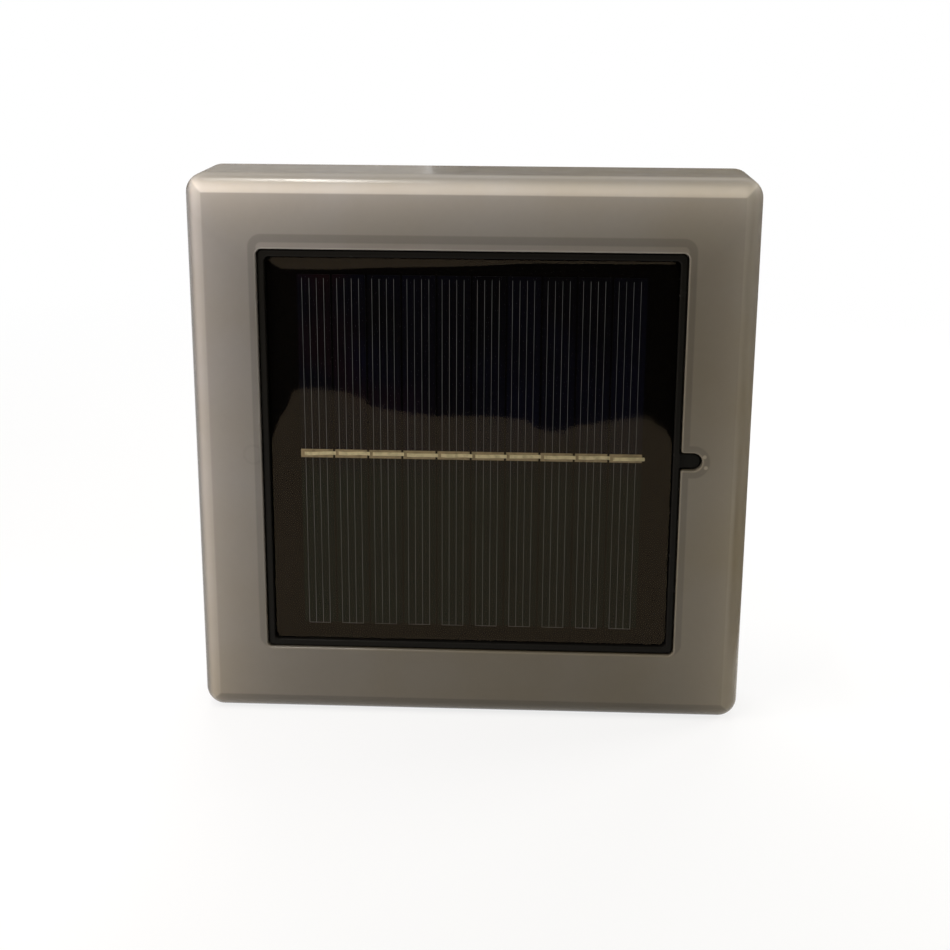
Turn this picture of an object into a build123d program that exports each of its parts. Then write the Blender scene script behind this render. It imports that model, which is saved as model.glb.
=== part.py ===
from build123d import *
import os

# A square solar fence light: a milky front cover with a window, a black tray that holds the
# solar panel in that window, a ring of lamps behind the milky border, and a back plate that
# carries the battery, the control board and the push button.
#
# The origin is the middle of the back face, which lies on the fence. +Z is up and the light
# looks along -Y. Heights are measured from the back face towards the front.

# ------------------------------------------------------------------ driving dimensions (mm)

# diffuser cover
border = 15.0             # window to outline, on the sides where it is narrowest
draft = 0.5               # mould draft of the outer walls, degrees
corner_radius = 4.4       # upright corners of the outline
front_fillet = 4.0        # rounding of the front edges
side_wall = 2.2
front_wall = 2.0
rim_wall = 1.1            # what is left of the side wall round the back plate

# window in the cover, and the collar behind it
window_radius = 1.2
window_edge = 0.35        # rounding of the window's front edge
notch_length = 4.5        # how far the side notch runs past the window
notch_radius = 1.95
notch_root = 0.5          # rounding where the notch leaves the window
collar_wall = 1.8
lobe_radius = 2.15        # half-round lobe on the collar, opposite the notch
ledge_width = 0.8         # inward ledge at the collar's foot
ledge_thickness = 1.2

# panel tray
tray_gap = 0.25           # round the tray in the window
tray_recess = 0.6         # the tray's lip lies this far behind the front face
lip_wall = 1.4
lip_stand = 0.45          # the lip's edge above the resin
lip_round = 0.35          # rounding of the lip's and the tab's front edges
tray_floor = 1.2
pocket_radius = 1.0
tab_drop = 0.5            # the tab in the notch lies this far below the lip
skirt_wall = 1.4
skirt_depth = 3.6         # below the ledge's top
hook_width = 6.0
hook_reach = 0.5          # under the ledge
hook_land = 0.5           # flat of the hook's nose
hook_gap = 0.1            # between hook and ledge
hook_spacing = 44.0
arm_slot = 1.0
lead_hole_margin = 2.0    # of the hole in the tray's floor, round the panel's terminals

# solar panel
panel_gap = 0.2           # round the panel in the tray's pocket
panel_radius = 2.0
adhesive_thickness = 0.3
adhesive_width = 4.0
adhesive_inset = 3.0
board_thickness = 1.0
cell_count = 10
cell_width = 6.95
cell_length = 78.0
cell_pitch = 7.4
cell_thickness = 0.2
side_margin = 6.4         # cells to the panel's left and right edges
end_margin = 3.65         # cells to the panel's upper and lower edges
ribbon_width = 0.8
ribbon_start = 0.8        # from the cell's left edge
ribbon_over = 0.6         # past the cell's right edge
ribbon_thickness = 0.15
resin_cover = 1.05        # clear resin above the cells
resin_round = 0.9         # rounding of the resin's upper edge
terminal_width = 3.0
terminal_height = 4.0
terminal_spacing = 8.0

# back plate
plate_thickness = 2.0
plate_gap = 0.2
plate_chamfer = 0.4
gasket_thickness = 0.6
gasket_gap = 0.1
locating_rib_end = 18.0   # from the rib's end to the corner of the hollow
locating_rib_wall = 1.2
locating_rib_height = 3.0

# corner screws and their bosses
boss_inset = 6.0          # from the walls of the hollow
boss_wall = 2.1
boss_rib = 1.2
boss_gap = 0.1            # boss to the plate's pad
pad_wall = 1.5
pad_floor = 1.4           # under the screw's head
screw_radius = 1.25
screw_length = 10.0
screw_head_radius = 2.75
screw_head_height = 1.8
head_recess = 0.2         # the head lies this far inside the back face
counterbore_gap = 0.35
shank_gap = 0.35          # in the plate's through hole
pilot_gap = 0.05          # in a boss or a post
drive_width = 0.7         # cross recess in a screw head
drive_length = 2.6
drive_depth = 0.9

# keyholes that hang the light on two screws
key_spacing = 60.0
key_height = 30.0         # entry hole's centre above the origin
key_head_radius = 4.0
key_slot_radius = 2.1
key_rise = 8.0
key_margin = 0.8          # round the screw's head
key_depth = 4.5
key_wall = 1.4
key_corner = 2.6

# ring of lamps
ring_height = 8.0         # underside of the ring board
ring_width = 8.5
ring_gap = 1.5            # to the walls of the hollow
ring_inner_radius = 8.0
ring_thickness = 1.2
boss_clearance = 1.0
lamp_spacing = 32.0
lamp_width = 3.5
lamp_length = 2.8
lamp_height = 1.6
phosphor_margin = 0.5     # from the lamp's edges
phosphor_height = 0.2
post_wall = 1.45
small_screw_radius = 0.9
small_screw_length = 5.0
small_head_radius = 1.8
small_head_height = 1.1

# control board
control_width = 56.0
control_length = 24.0
control_middle = 10.0     # above the origin
control_thickness = 1.2
control_radius = 1.5
control_post_inset = 3.5
chip_width = 5.0
chip_length = 4.0
chip_height = 1.5
chip_place = (-13.0, 3.5)
leg_width = 0.4
leg_reach = 1.0
leg_thickness = 0.25
leg_pitch = 1.27
leg_count = 4
inductor_radius = 3.0
inductor_height = 3.6
inductor_waist = 2.2
inductor_flange = 0.8
inductor_place = (13.0, 4.5)
component_gap = 2.1       # from the posts to the capacitors and resistors
capacitor_radius = 2.0
capacitor_height = 5.0
capacitor_bevel = 0.3
capacitor_place = -6.5
resistor_width = 2.0
resistor_length = 1.25
resistor_height = 0.5
resistor_rows = 3.0
resistor_place = 5.0
socket_width = 6.0
socket_length = 4.4
socket_height = 5.0
socket_wall = 0.7
socket_floor = 1.2
socket_spacing = 8.0
socket_place = -8.8
socket_count = 3

# push button and its switch
button_radius = 5.0
button_gap = 0.12
button_recess = 0.6       # the button's face lies this far inside the back face
button_round = 0.5
button_dish = 0.5         # depth of the finger dish
button_dish_radius = 14.0
button_travel = 1.5
guide_wall = 2.08
guide_height = 3.0        # of the guide above the plate
flange_rim = 1.5
flange_thickness = 1.0
press_gap = 0.2           # left between flange and switch when the button is pressed
seal_thickness = 0.5
seal_gap = 0.3            # round the button
switch_side = 8.0
switch_height = 4.8
plunger_side = 3.0
plunger_gap = 0.15
plunger_inside = 2.0      # length of the plunger inside the switch at rest
plunger_floor = 0.4       # room left below the plunger when it is pressed

# battery
battery_radius = 7.1
battery_length = 48.4
nub_radius = 2.6
nub_height = 1.2
battery_bevel = 0.5       # of the wrap's edges
battery_drop = -27.0      # axis below the origin
battery_clearance = 0.3   # to the back plate
battery_headroom = 0.7    # to the tray's floor
cradle_gap = 0.12
cradle_wall = 1.9
cradle_end = 2.0
cradle_rise = 1.2         # side walls above the battery's axis
cradle_waist = 26.0       # length of the low middle stretch of the side walls
cradle_dip = 4.0
cradle_slot = 6.0         # open bottom of the bay, so that the wall there stays thick
ear_radius = 3.0
ear_thickness = 2.0
ear_gap = 0.3             # screw head to the cradle's wall
cradle_screw_length = 3.4
contact_thickness = 0.3
contact_width = 7.0
contact_fold = 2.6
contact_gap = 0.05

# ------------------------------------------------------------------ worked-out heights

gasket_top = plate_thickness + gasket_thickness
head_seat = screw_head_height + head_recess
pad_top = head_seat + pad_floor
boss_foot = pad_top + boss_gap
lamp_base = ring_height + ring_thickness
guide_top = plate_thickness + guide_height
flange_base = guide_top + seal_thickness
flange_top = flange_base + flange_thickness
switch_face = flange_top + button_travel + press_gap
control_height = switch_face + switch_height
control_top = control_height + control_thickness
battery_axis = plate_thickness + battery_clearance + battery_radius

# the tray lies on the taller of the battery and the control board, and the panel on the tray
stack_top = max(battery_axis + battery_radius, control_top + small_head_height)
ledge_top = stack_top + battery_headroom
collar_foot = ledge_top - ledge_thickness
pocket_floor = ledge_top + tray_floor
board_base = pocket_floor + adhesive_thickness
cell_base = board_base + board_thickness
ribbon_base = cell_base + cell_thickness
resin_top = ribbon_base + resin_cover
tray_face = resin_top + lip_stand
depth = tray_face + tray_recess

# ------------------------------------------------------------------ worked-out widths

# the panel is as large as its cells need, the window as the panel, the outline as the window
cell_shift = (cell_count - 1) * cell_pitch / 2
panel_width = 2 * cell_shift + cell_width + 2 * side_margin
panel_height = cell_length + 2 * end_margin
pocket_width = panel_width + 2 * panel_gap
pocket_height = panel_height + 2 * panel_gap
window_width = pocket_width + 2 * (lip_wall + tray_gap)
window_height = pocket_height + 2 * (lip_wall + tray_gap)
skirt_width = window_width - 2 * (ledge_width + tray_gap)
skirt_height = window_height - 2 * (ledge_width + tray_gap)
lead_hole_width = terminal_spacing + terminal_width + 2 * lead_hole_margin
lead_hole_height = terminal_height + 2 * lead_hole_margin
side = max(window_width, window_height) + 2 * border
cavity = side - 2 * side_wall
cavity_radius = corner_radius - side_wall
inner_fillet = front_fillet - front_wall
plate_recess = side - 2 * rim_wall
plate_recess_radius = corner_radius - rim_wall
plate_side = plate_recess - 2 * plate_gap
plate_radius = plate_recess_radius - plate_gap
boss_spacing = cavity - 2 * boss_inset
boss_radius = screw_radius + pilot_gap + boss_wall
counterbore_radius = screw_head_radius + counterbore_gap
pad_radius = counterbore_radius + pad_wall
ring_outer = cavity - 2 * ring_gap
ring_middle = ring_outer - ring_width
small_hole_radius = small_screw_radius + pilot_gap
post_radius = small_hole_radius + post_wall
control_post_width = control_width - 2 * control_post_inset
control_post_length = control_length - 2 * control_post_inset
component_edge = control_post_width / 2 - post_radius - component_gap
guide_radius = button_radius + button_gap + guide_wall
flange_radius = button_radius + flange_rim
battery_half = battery_length / 2
bay_half = battery_half + contact_thickness + contact_gap
ear_spacing = 2 * (battery_radius + cradle_gap + cradle_wall + small_head_radius + ear_gap)

# how near a face or corner lies to the place where it is looked for
reach = 0.01


def level(height):
    """The plane parallel to the fence at a height in front of the back face."""
    return Plane.XZ.offset(height)


def window_outline(inset):
    """Draws the window with its side notch, drawn in all round by an inset."""
    right_edge = window_width / 2 - inset
    RectangleRounded(2 * right_edge, window_height - 2 * inset, window_radius - inset)
    with Locations((window_width / 2, 0)):
        SlotOverall(2 * (notch_length - inset), 2 * (notch_radius - inset))


def side_planes(width, height):
    """For each side of a frame, its half span and a plane whose x points out of it."""
    return [
        (width / 2, Plane(origin=(0, 0, 0), x_dir=(1, 0, 0), z_dir=(0, 0, 1))),
        (width / 2, Plane(origin=(0, 0, 0), x_dir=(-1, 0, 0), z_dir=(0, 0, -1))),
        (height / 2, Plane(origin=(0, 0, 0), x_dir=(0, 0, 1), z_dir=(-1, 0, 0))),
        (height / 2, Plane(origin=(0, 0, 0), x_dir=(0, 0, -1), z_dir=(1, 0, 0))),
    ]


def pan_head_screws(head_level, places, radius, length, head, toward_front):
    """Pan-head screws at places, their heads seated on a level."""
    way = 1 if toward_front else -1
    head_radius, head_height = head
    with BuildPart() as screws:
        with BuildSketch(level(head_level)):
            with Locations(*places):
                Circle(head_radius)
        extrude(amount=-way * head_height)
        with BuildSketch(level(head_level)):
            with Locations(*places):
                Circle(radius)
        extrude(amount=way * length)
    return screws


def grid(width, height):
    """The four corners of a rectangle about the origin."""
    return [(x * width / 2, y * height / 2) for x in (-1, 1) for y in (-1, 1)]


# ------------------------------------------------------------------ diffuser cover

with BuildPart() as diffuser_cover:
    with BuildSketch(level(0)):
        RectangleRounded(side, side, corner_radius)
    extrude(amount=depth, taper=draft)
    fillet(diffuser_cover.faces().sort_by(Axis.Y)[0].edges(), front_fillet)

    # the hollow, rounded inside the front edges so that the wall stays even
    with BuildSketch(level(0)):
        RectangleRounded(cavity, cavity, cavity_radius)
    extrude(amount=depth - front_wall, mode=Mode.SUBTRACT)
    inner_face = diffuser_cover.faces().filter_by_position(
        Axis.Y, front_wall - depth - reach, front_wall - depth + reach
    )
    fillet(inner_face.edges(), inner_fillet)

    # rebate for the back plate and its gasket
    with BuildSketch(level(0)):
        RectangleRounded(plate_recess, plate_recess, plate_recess_radius)
    extrude(amount=gasket_top, mode=Mode.SUBTRACT)

    # corner bosses, each tied to both walls by a rib
    rib_middle = (cavity + boss_spacing) / 2
    with BuildSketch(level(boss_foot)):
        with GridLocations(boss_spacing, boss_spacing, 2, 2):
            Circle(boss_radius)
        with GridLocations(rib_middle, boss_spacing, 2, 2):
            Rectangle(boss_inset, boss_rib)
        with GridLocations(boss_spacing, rib_middle, 2, 2):
            Rectangle(boss_rib, boss_inset)
    extrude(amount=depth - front_wall - boss_foot)
    with BuildSketch(level(boss_foot)):
        with GridLocations(boss_spacing, boss_spacing, 2, 2):
            Circle(screw_radius + pilot_gap)
    extrude(amount=screw_length, mode=Mode.SUBTRACT)

    # collar that follows the window and its notch, with the lobe on the other side
    with BuildSketch(level(collar_foot)):
        window_outline(-collar_wall)
        with Locations((-window_width / 2 - collar_wall, 0)):
            Circle(lobe_radius)
    extrude(amount=depth - front_wall - collar_foot)

    # the window itself, down to the ledge, and the way through the ledge
    with BuildSketch(level(ledge_top)) as window_sketch:
        window_outline(0)
        roots = window_sketch.vertices().filter_by_position(
            Axis.X, window_width / 2 - reach, window_width / 2 + reach
        )
        fillet(roots.sort_by(Axis.Y)[1:3], notch_root)
    extrude(amount=depth - ledge_top, mode=Mode.SUBTRACT)
    with BuildSketch(level(collar_foot)):
        Rectangle(window_width - 2 * ledge_width, window_height - 2 * ledge_width)
    extrude(amount=ledge_thickness, mode=Mode.SUBTRACT)
    front_face = diffuser_cover.faces().sort_by(Axis.Y)[0]
    fillet(front_face.inner_wires()[0].edges(), window_edge)

# ------------------------------------------------------------------ panel tray

with BuildPart() as panel_tray:
    with BuildSketch(level(ledge_top)):
        window_outline(tray_gap)
    extrude(amount=tray_face - ledge_top)
    with BuildSketch(level(tray_face)):
        RectangleRounded(pocket_width, pocket_height, pocket_radius)
    extrude(amount=pocket_floor - tray_face, mode=Mode.SUBTRACT)
    fillet(panel_tray.faces().sort_by(Axis.Y)[0].edges(), lip_round)
    with BuildSketch(level(tray_face)):
        with Locations((window_width / 2 - tray_gap, 0)):
            Rectangle(notch_length, 2 * notch_radius, align=(Align.MIN, Align.CENTER))
    extrude(amount=-tab_drop, mode=Mode.SUBTRACT)
    tab_level = tab_drop - tray_face
    tab_face = panel_tray.faces().filter_by_position(Axis.Y, tab_level - reach, tab_level + reach)
    fillet(tab_face.edges().sort_by(Axis.X)[1:], lip_round)
    with BuildSketch(level(ledge_top)):
        RectangleRounded(lead_hole_width, lead_hole_height, pocket_radius)
    extrude(amount=tray_floor, mode=Mode.SUBTRACT)

    # skirt that passes through the ledge
    with BuildSketch(level(ledge_top)):
        RectangleRounded(skirt_width, skirt_height, window_radius)
        Rectangle(skirt_width - 2 * skirt_wall, skirt_height - 2 * skirt_wall, mode=Mode.SUBTRACT)
    extrude(amount=-skirt_depth)

    # two spring arms a side, cut free of the skirt, each with a hook under the ledge
    skirt_foot = ledge_top - skirt_depth
    hook_top = collar_foot - hook_gap
    for half_span, plane in side_planes(skirt_width, skirt_height):
        for place in (-hook_spacing / 2, hook_spacing / 2):
            for edge in (-1, 1):
                slot_start = place + edge * (hook_width + arm_slot) / 2 - arm_slot / 2
                with BuildSketch(plane.offset(slot_start)):
                    with Locations((half_span - skirt_wall / 2, -ledge_top)):
                        Rectangle(2 * skirt_wall, skirt_depth, align=(Align.CENTER, Align.MIN))
                extrude(amount=arm_slot, mode=Mode.SUBTRACT)
            with BuildSketch(plane.offset(place - hook_width / 2)):
                with BuildLine():
                    Polyline(
                        (half_span - skirt_wall, -hook_top),
                        (half_span + tray_gap + hook_reach, -hook_top),
                        (half_span + tray_gap + hook_reach, -hook_top + hook_land),
                        (half_span, -skirt_foot),
                        (half_span - skirt_wall, -skirt_foot),
                        close=True,
                    )
                make_face()
            extrude(amount=hook_width)

# ------------------------------------------------------------------ solar panel

with BuildPart() as panel_adhesive:
    band_width = panel_width - 2 * adhesive_inset
    band_height = panel_height - 2 * adhesive_inset
    with BuildSketch(level(pocket_floor)):
        RectangleRounded(band_width, band_height, panel_radius)
        Rectangle(band_width - 2 * adhesive_width, band_height - 2 * adhesive_width, mode=Mode.SUBTRACT)
    extrude(amount=adhesive_thickness)

with BuildPart() as panel_board:
    with BuildSketch(level(board_base)):
        RectangleRounded(panel_width, panel_height, panel_radius)
    extrude(amount=board_thickness)

with BuildPart() as panel_terminals:
    with BuildSketch(level(board_base)):
        with GridLocations(terminal_spacing, 0, 2, 1):
            Rectangle(terminal_width, terminal_height)
    extrude(amount=-adhesive_thickness)

with BuildPart() as solar_cells:
    with BuildSketch(level(cell_base)):
        with GridLocations(cell_pitch, 0, cell_count, 1):
            Rectangle(cell_width, cell_length)
    extrude(amount=cell_thickness)

with BuildPart() as tabbing_ribbons:
    ribbon_length = cell_width - ribbon_start + ribbon_over
    with BuildSketch(level(ribbon_base)):
        for number in range(cell_count):
            ribbon_left = number * cell_pitch - cell_shift - cell_width / 2 + ribbon_start
            with Locations((ribbon_left, 0)):
                Rectangle(ribbon_length, ribbon_width, align=(Align.MIN, Align.CENTER))
    extrude(amount=ribbon_thickness)

# clear resin, poured over the cells and rounded at its upper edge
with BuildPart() as panel_resin:
    with BuildSketch(level(cell_base)):
        RectangleRounded(panel_width, panel_height, panel_radius)
    extrude(amount=resin_top - cell_base)
    fillet(panel_resin.faces().sort_by(Axis.Y)[0].edges(), resin_round)
    add(solar_cells.part, mode=Mode.SUBTRACT)
    add(tabbing_ribbons.part, mode=Mode.SUBTRACT)

# ------------------------------------------------------------------ back plate

with BuildPart() as back_plate:
    with BuildSketch(level(0)):
        RectangleRounded(plate_side, plate_side, plate_radius)
    extrude(amount=plate_thickness)
    chamfer(back_plate.faces().sort_by(Axis.Y)[-1].edges(), plate_chamfer)

    # straight ribs that centre the plate inside the cover's walls
    rib_line = cavity - 2 * plate_gap - locating_rib_wall
    locating_rib_length = cavity - 2 * locating_rib_end
    with BuildSketch(level(plate_thickness)):
        with GridLocations(rib_line, 0, 2, 1):
            Rectangle(locating_rib_wall, locating_rib_length)
        with GridLocations(0, rib_line, 1, 2):
            Rectangle(locating_rib_length, locating_rib_wall)
    extrude(amount=locating_rib_height)

    # pads under the corner screws, and the closed pockets behind the keyholes
    with BuildSketch(level(plate_thickness)):
        with GridLocations(boss_spacing, boss_spacing, 2, 2):
            Circle(pad_radius)
    extrude(amount=pad_top - plate_thickness)
    key_pocket_width = 2 * (key_head_radius + key_margin)
    key_pocket_length = key_pocket_width + key_rise
    key_middle = key_height + key_rise / 2
    key_places = [(-key_spacing / 2, key_middle), (key_spacing / 2, key_middle)]
    with BuildSketch(level(plate_thickness)):
        with Locations(*key_places):
            RectangleRounded(
                key_pocket_width + 2 * key_wall,
                key_pocket_length + 2 * key_wall,
                key_corner + key_wall,
            )
    extrude(amount=key_depth + key_wall)
    with BuildSketch(level(plate_thickness)):
        with Locations(*key_places):
            RectangleRounded(key_pocket_width, key_pocket_length, key_corner)
    extrude(amount=key_depth, mode=Mode.SUBTRACT)
    with BuildSketch(level(0)):
        with Locations((-key_spacing / 2, key_height), (key_spacing / 2, key_height)):
            Circle(key_head_radius)
        with Locations(*key_places):
            SlotCenterToCenter(key_rise, 2 * key_slot_radius, rotation=90)
    extrude(amount=plate_thickness, mode=Mode.SUBTRACT)

    # posts for the ring board, the control board and the battery cradle
    ring_posts = grid(ring_middle, lamp_spacing)
    control_posts = [
        (x, y + control_middle) for x, y in grid(control_post_width, control_post_length)
    ]
    with BuildSketch(level(plate_thickness)):
        with Locations(*ring_posts):
            Circle(post_radius)
    extrude(amount=ring_height - plate_thickness)
    with BuildSketch(level(plate_thickness)):
        with Locations(*control_posts):
            Circle(post_radius)
    extrude(amount=control_height - plate_thickness)

    # guide round the button
    with BuildSketch(level(plate_thickness)):
        with Locations((0, control_middle)):
            Circle(guide_radius)
    extrude(amount=guide_height)
    with BuildSketch(level(0)):
        with Locations((0, control_middle)):
            Circle(button_radius + button_gap)
    extrude(amount=guide_top, mode=Mode.SUBTRACT)

    # screw holes: through and counterbored at the corners, blind in the posts
    with BuildSketch(level(0)):
        with GridLocations(boss_spacing, boss_spacing, 2, 2):
            Circle(counterbore_radius)
    extrude(amount=head_seat, mode=Mode.SUBTRACT)
    with BuildSketch(level(head_seat)):
        with GridLocations(boss_spacing, boss_spacing, 2, 2):
            Circle(screw_radius + shank_gap)
    extrude(amount=pad_floor, mode=Mode.SUBTRACT)
    with BuildSketch(level(ring_height)):
        with Locations(*ring_posts):
            Circle(small_hole_radius)
    extrude(amount=ring_thickness - small_screw_length, mode=Mode.SUBTRACT)
    with BuildSketch(level(control_height)):
        with Locations(*control_posts):
            Circle(small_hole_radius)
    extrude(amount=control_thickness - small_screw_length, mode=Mode.SUBTRACT)
    with BuildSketch(level(plate_thickness)):
        with Locations((0, battery_drop)):
            with GridLocations(0, ear_spacing, 1, 2):
                Circle(small_hole_radius)
    extrude(amount=ear_thickness - cradle_screw_length, mode=Mode.SUBTRACT)

with BuildPart() as plate_gasket:
    gasket_outer = plate_side - 2 * gasket_gap
    gasket_inner = cavity + 2 * gasket_gap
    with BuildSketch(level(plate_thickness)):
        RectangleRounded(gasket_outer, gasket_outer, plate_radius)
        RectangleRounded(gasket_inner, gasket_inner, cavity_radius, mode=Mode.SUBTRACT)
    extrude(amount=gasket_thickness)

# the four screws that hold the plate, each with a cross recess
with BuildPart() as plate_screws:
    add(pan_head_screws(
        head_seat, grid(boss_spacing, boss_spacing), screw_radius, screw_length,
        (screw_head_radius, screw_head_height), True,
    ).part)
    with BuildSketch(level(head_recess)):
        with GridLocations(boss_spacing, boss_spacing, 2, 2):
            Rectangle(drive_length, drive_width)
            Rectangle(drive_width, drive_length)
    extrude(amount=drive_depth, mode=Mode.SUBTRACT)

# ------------------------------------------------------------------ ring of lamps

small_head = (small_head_radius, small_head_height)

with BuildPart() as led_ring_board:
    ring_inner = ring_outer - 2 * ring_width
    corner_cut = (ring_outer - boss_spacing + boss_rib) / 2 + boss_clearance
    with BuildSketch(level(ring_height)):
        Rectangle(ring_outer, ring_outer)
        RectangleRounded(ring_inner, ring_inner, ring_inner_radius, mode=Mode.SUBTRACT)
        with GridLocations(boss_spacing, boss_spacing, 2, 2):
            Circle(boss_radius + boss_clearance, mode=Mode.SUBTRACT)
        with Locations(*grid(ring_outer, ring_outer)):
            Rectangle(2 * corner_cut, 2 * corner_cut, mode=Mode.SUBTRACT)
        with Locations(*ring_posts):
            Circle(small_hole_radius, mode=Mode.SUBTRACT)
    extrude(amount=ring_thickness)

with BuildPart() as led_packages:
    with BuildSketch(level(lamp_base)):
        with GridLocations(ring_middle, lamp_spacing, 2, 3):
            Rectangle(lamp_width, lamp_length)
        with GridLocations(lamp_spacing, ring_middle, 3, 2):
            Rectangle(lamp_width, lamp_length)
    extrude(amount=lamp_height)

with BuildPart() as led_phosphors:
    phosphor_width = lamp_width - 2 * phosphor_margin
    phosphor_length = lamp_length - 2 * phosphor_margin
    with BuildSketch(level(lamp_base + lamp_height)):
        with GridLocations(ring_middle, lamp_spacing, 2, 3):
            Rectangle(phosphor_width, phosphor_length)
        with GridLocations(lamp_spacing, ring_middle, 3, 2):
            Rectangle(phosphor_width, phosphor_length)
    extrude(amount=phosphor_height)

ring_board_screws = pan_head_screws(
    lamp_base, ring_posts, small_screw_radius, small_screw_length, small_head, False
)

# ------------------------------------------------------------------ control board

with BuildPart() as control_board:
    with BuildSketch(level(control_height)):
        with Locations((0, control_middle)):
            RectangleRounded(control_width, control_length, control_radius)
        with Locations(*control_posts):
            Circle(small_hole_radius, mode=Mode.SUBTRACT)
    extrude(amount=control_thickness)

control_board_screws = pan_head_screws(
    control_top, control_posts, small_screw_radius, small_screw_length, small_head, False
)

with BuildPart() as charge_chip:
    chip_x, chip_z = chip_place[0], chip_place[1] + control_middle
    with BuildSketch(level(control_height - leg_thickness)):
        with Locations((chip_x, chip_z)):
            Rectangle(chip_width, chip_length)
    extrude(amount=leg_thickness - chip_height)
    with BuildSketch(level(control_height)):
        with Locations((chip_x, chip_z)):
            with GridLocations(leg_pitch, 0, leg_count, 1):
                Rectangle(leg_width, chip_length + 2 * leg_reach)
    extrude(amount=-leg_thickness)

with BuildPart() as inductor:
    inductor_x, inductor_z = inductor_place[0], inductor_place[1] + control_middle
    with BuildSketch(level(control_height)):
        with Locations((inductor_x, inductor_z)):
            Circle(inductor_waist)
    extrude(amount=-inductor_height)
    for flange_level in (control_height, control_height - inductor_height + inductor_flange):
        with BuildSketch(level(flange_level)):
            with Locations((inductor_x, inductor_z)):
                Circle(inductor_radius)
        extrude(amount=-inductor_flange)

with BuildPart() as capacitors:
    with BuildSketch(level(control_height)):
        with Locations((0, control_middle + capacitor_place)):
            with GridLocations(2 * (component_edge - capacitor_radius), 0, 2, 1):
                Circle(capacitor_radius)
    extrude(amount=-capacitor_height)
    chamfer(capacitors.faces().sort_by(Axis.Y)[-2:].edges(), capacitor_bevel)

with BuildPart() as resistors:
    with BuildSketch(level(control_height)):
        with Locations((0, control_middle + resistor_place)):
            with GridLocations(2 * component_edge - resistor_width, resistor_rows, 2, 2):
                Rectangle(resistor_width, resistor_length)
    extrude(amount=-resistor_height)

with BuildPart() as board_sockets:
    with BuildSketch(level(control_height)):
        with Locations((0, control_middle + socket_place)):
            with GridLocations(socket_spacing, 0, socket_count, 1):
                Rectangle(socket_width, socket_length)
    extrude(amount=-socket_height)
    with BuildSketch(level(control_height - socket_height)):
        with Locations((0, control_middle + socket_place)):
            with GridLocations(socket_spacing, 0, socket_count, 1):
                Rectangle(socket_width - 2 * socket_wall, socket_length - 2 * socket_wall)
    extrude(amount=socket_height - socket_floor, mode=Mode.SUBTRACT)

# ------------------------------------------------------------------ push button and switch

with BuildPart() as push_switch:
    with BuildSketch(level(control_height)):
        with Locations((0, control_middle)):
            Rectangle(switch_side, switch_side)
    extrude(amount=-switch_height)
    with BuildSketch(level(switch_face)):
        with Locations((0, control_middle)):
            Rectangle(plunger_side + 2 * plunger_gap, plunger_side + 2 * plunger_gap)
    extrude(amount=plunger_inside + button_travel + plunger_floor, mode=Mode.SUBTRACT)

with BuildPart() as switch_plunger:
    with BuildSketch(level(flange_top)):
        with Locations((0, control_middle)):
            Rectangle(plunger_side, plunger_side)
    extrude(amount=switch_face + plunger_inside - flange_top)

with BuildPart() as button_cap:
    with BuildSketch(level(button_recess)):
        with Locations((0, control_middle)):
            Circle(button_radius)
    extrude(amount=flange_top - button_recess)
    with BuildSketch(level(flange_base)):
        with Locations((0, control_middle)):
            Circle(flange_radius)
    extrude(amount=flange_thickness)
    outer_edge = button_cap.faces().sort_by(Axis.Y)[-1].edges()
    fillet(outer_edge, button_round)
    with Locations((0, button_dish_radius - button_dish - button_recess, control_middle)):
        Sphere(button_dish_radius, mode=Mode.SUBTRACT)

with BuildPart() as button_seal:
    with BuildSketch(level(guide_top)):
        with Locations((0, control_middle)):
            Circle(flange_radius)
            Circle(button_radius + seal_gap, mode=Mode.SUBTRACT)
    extrude(amount=seal_thickness)

# ------------------------------------------------------------------ battery and its cradle

axis_plane = Plane(
    origin=(0, -battery_axis, battery_drop), x_dir=(0, 0, 1), z_dir=(1, 0, 0)
)

with BuildPart() as battery_cell:
    with BuildSketch(axis_plane.offset(-battery_half)):
        Circle(battery_radius)
    extrude(amount=battery_length - nub_height)
    chamfer(battery_cell.edges().filter_by(GeomType.CIRCLE), battery_bevel)
    with BuildSketch(axis_plane.offset(battery_half - nub_height)):
        Circle(nub_radius)
    extrude(amount=nub_height)

with BuildPart() as battery_cradle:
    cradle_width = 2 * (battery_radius + cradle_gap + cradle_wall)
    cradle_length = 2 * (bay_half + cradle_end)
    cradle_top = battery_axis + cradle_rise
    with BuildSketch(level(plate_thickness)):
        with Locations((0, battery_drop)):
            Rectangle(cradle_length, cradle_width)
    extrude(amount=cradle_top - plate_thickness)
    with BuildSketch(level(cradle_top)):
        with Locations((0, battery_drop)):
            Rectangle(cradle_waist, cradle_width)
    extrude(amount=-cradle_dip, mode=Mode.SUBTRACT)

    # ears for the two screws that hold the cradle on the plate
    with BuildSketch(level(plate_thickness)):
        with Locations((0, battery_drop)):
            SlotCenterToCenter(ear_spacing, 2 * ear_radius, rotation=90)
    extrude(amount=ear_thickness)

    # the bay for the battery and its two contacts
    with BuildSketch(axis_plane.offset(-bay_half)):
        Circle(battery_radius + cradle_gap)
    extrude(amount=2 * bay_half, mode=Mode.SUBTRACT)
    with BuildSketch(level(plate_thickness)):
        with Locations((0, battery_drop)):
            Rectangle(2 * bay_half, cradle_slot)
    extrude(amount=battery_radius, mode=Mode.SUBTRACT)
    with BuildSketch(level(plate_thickness)):
        with Locations((0, battery_drop)):
            with GridLocations(0, ear_spacing, 1, 2):
                Circle(small_hole_radius)
    extrude(amount=ear_thickness, mode=Mode.SUBTRACT)

cradle_places = [(0, battery_drop - ear_spacing / 2), (0, battery_drop + ear_spacing / 2)]
cradle_screws = pan_head_screws(
    plate_thickness + ear_thickness, cradle_places, small_screw_radius, cradle_screw_length,
    small_head, False,
)

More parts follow.
